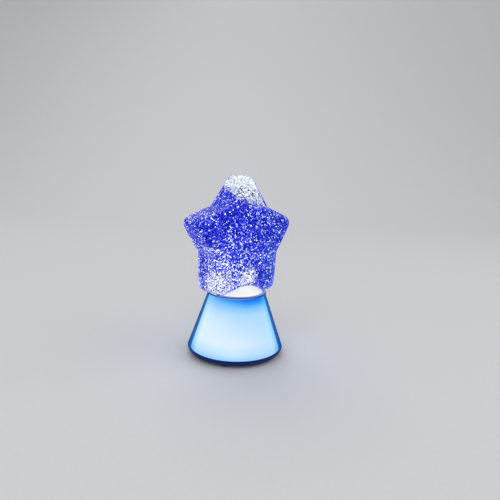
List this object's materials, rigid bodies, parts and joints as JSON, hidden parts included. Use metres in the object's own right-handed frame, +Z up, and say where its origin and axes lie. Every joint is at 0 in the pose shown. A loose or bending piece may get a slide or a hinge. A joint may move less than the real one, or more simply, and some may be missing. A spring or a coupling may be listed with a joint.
{
  "type": "glitter sensory lamp",
  "caption": "Star-shaped clear vessel of glitter liquid on a glowing conical light base, with a motor-driven magnetic stirrer, slide switch and battery door.",
  "frame": {"origin": "centre of the base on the surface that the rubber feet stand on", "axes": "+Z up through the cone and the star; the star's front face looks along -Y, +X to its right side as seen from the front"},
  "size_m": [0.1118, 0.1, 0.1852],
  "materials": {
    "navy_plastic": "satin moulded",
    "black_rubber": "matte",
    "clear_shell": "clear polished",
    "frosted_shell": "frosted, lit from inside",
    "white_seat": "smooth moulded",
    "blue_liquid": "clear blue liquid",
    "silver_glitter": "bright foil",
    "white_plastic": "satin moulded",
    "black_plastic": "satin moulded",
    "screw_steel": "zinc plated",
    "motor_steel": "drawn",
    "contact_nickel": "nickel plated",
    "magnet_nickel": "nickel plated",
    "cell_wrap": "printed sleeve, plain",
    "board_white": "white solder mask",
    "led_lens": "clear domed",
    "wire_cover": "soft insulation"
  },
  "bodies": {
    "base": {"rubber_feet": "black_rubber", "base_pan": "navy_plastic", "door_hinge_pin": "screw_steel", "pan_screws": "screw_steel", "tray_screws": "screw_steel", "switch_screws": "screw_steel", "board_screws": "screw_steel", "battery_tray": "black_plastic", "batteries": "cell_wrap", "battery_springs": "contact_nickel", "battery_contacts": "contact_nickel", "battery_leads": "wire_cover", "switch_leads": "wire_cover", "motor_leads": "wire_cover", "switch_body": "black_plastic", "led_board": "board_white", "leds": "led_lens", "motor_can": "motor_steel", "motor_end_cap": "white_plastic", "cone_cover": "clear_shell", "cone_diffuser": "frosted_shell", "vessel_seat": "white_seat", "retaining_nut": "white_plastic", "star_vessel": "clear_shell", "glitter_liquid": "blue_liquid", "glitter_flakes": "silver_glitter", "vessel_plug": "white_plastic", "plug_seal": "black_rubber", "stirrer_pin": "screw_steel"},
    "door": {"battery_door": "navy_plastic"},
    "door_screw": {"door_screw": "screw_steel"},
    "slider": {"switch_slider": "black_plastic"},
    "rotor": {"rotor_disc": "white_plastic", "rotor_magnets": "magnet_nickel", "motor_shaft": "screw_steel"},
    "stirrer": {"stirrer": "white_plastic", "stirrer_magnets": "magnet_nickel"}
  },
  "joints": [
    {"name": "rotor_spin", "type": "hinge", "parent": "base", "child": "rotor", "pos_m": [0, 0, 0.045], "axis": [0, 0, 1], "continuous": true},
    {"name": "stirrer_spin", "type": "hinge", "parent": "base", "child": "stirrer", "pos_m": [0, 0, 0.06], "axis": [0, 0, 1], "continuous": true},
    {"name": "switch_slide", "type": "slide", "parent": "base", "child": "slider", "axis": [1, 0, 0], "range_m": [0, 0.004]},
    {"name": "battery_door_hinge", "type": "hinge", "parent": "base", "child": "door", "pos_m": [0, -0.01535, 0.0032], "axis": [-1, 0, 0], "range_deg": [0, 90]},
    {"name": "door_screw_turn", "type": "hinge", "parent": "door", "child": "door_screw", "pos_m": [0, 0.01975, 0.0032], "axis": [0, 0, -1], "range_deg": [0, 1080]}
  ],
  "couplings": [
    {"joint": "stirrer_spin", "follows": "rotor_spin", "ratio": 1}
  ]
}
